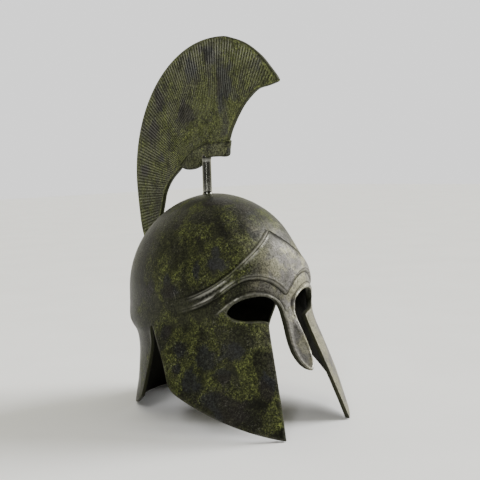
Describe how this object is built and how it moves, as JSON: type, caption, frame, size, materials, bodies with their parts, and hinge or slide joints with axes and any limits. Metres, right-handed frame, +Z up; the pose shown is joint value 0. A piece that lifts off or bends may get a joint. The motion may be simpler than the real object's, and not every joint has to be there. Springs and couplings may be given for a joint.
{
  "type": "greek bronze helmet",
  "caption": "Life-size Corinthian-style bronze helmet with mottled patina, raised brow panel, long cheek guards and a flat grooved crest held above the bowl on a round post.",
  "frame": {"origin": "on the ground, under the middle of the box around helmet and crest", "axes": "+Z up, the face towards -Y, the wearer's left at +X, the middle plane at X = 0"},
  "size_m": [0.2206, 0.3086, 0.4212],
  "materials": {
    "shell_bronze": "dark mottled green patina, worn pale at the brow and edges",
    "post_metal": "polished",
    "holder_bronze": "dark green patina",
    "plume_bronze": "dark green patina with fine radial grooves"
  },
  "bodies": {
    "root": {"helmet_shell": "shell_bronze", "crest_post": "post_metal", "crest_holder": "holder_bronze", "crest_plume": "plume_bronze"}
  },
  "joints": []
}
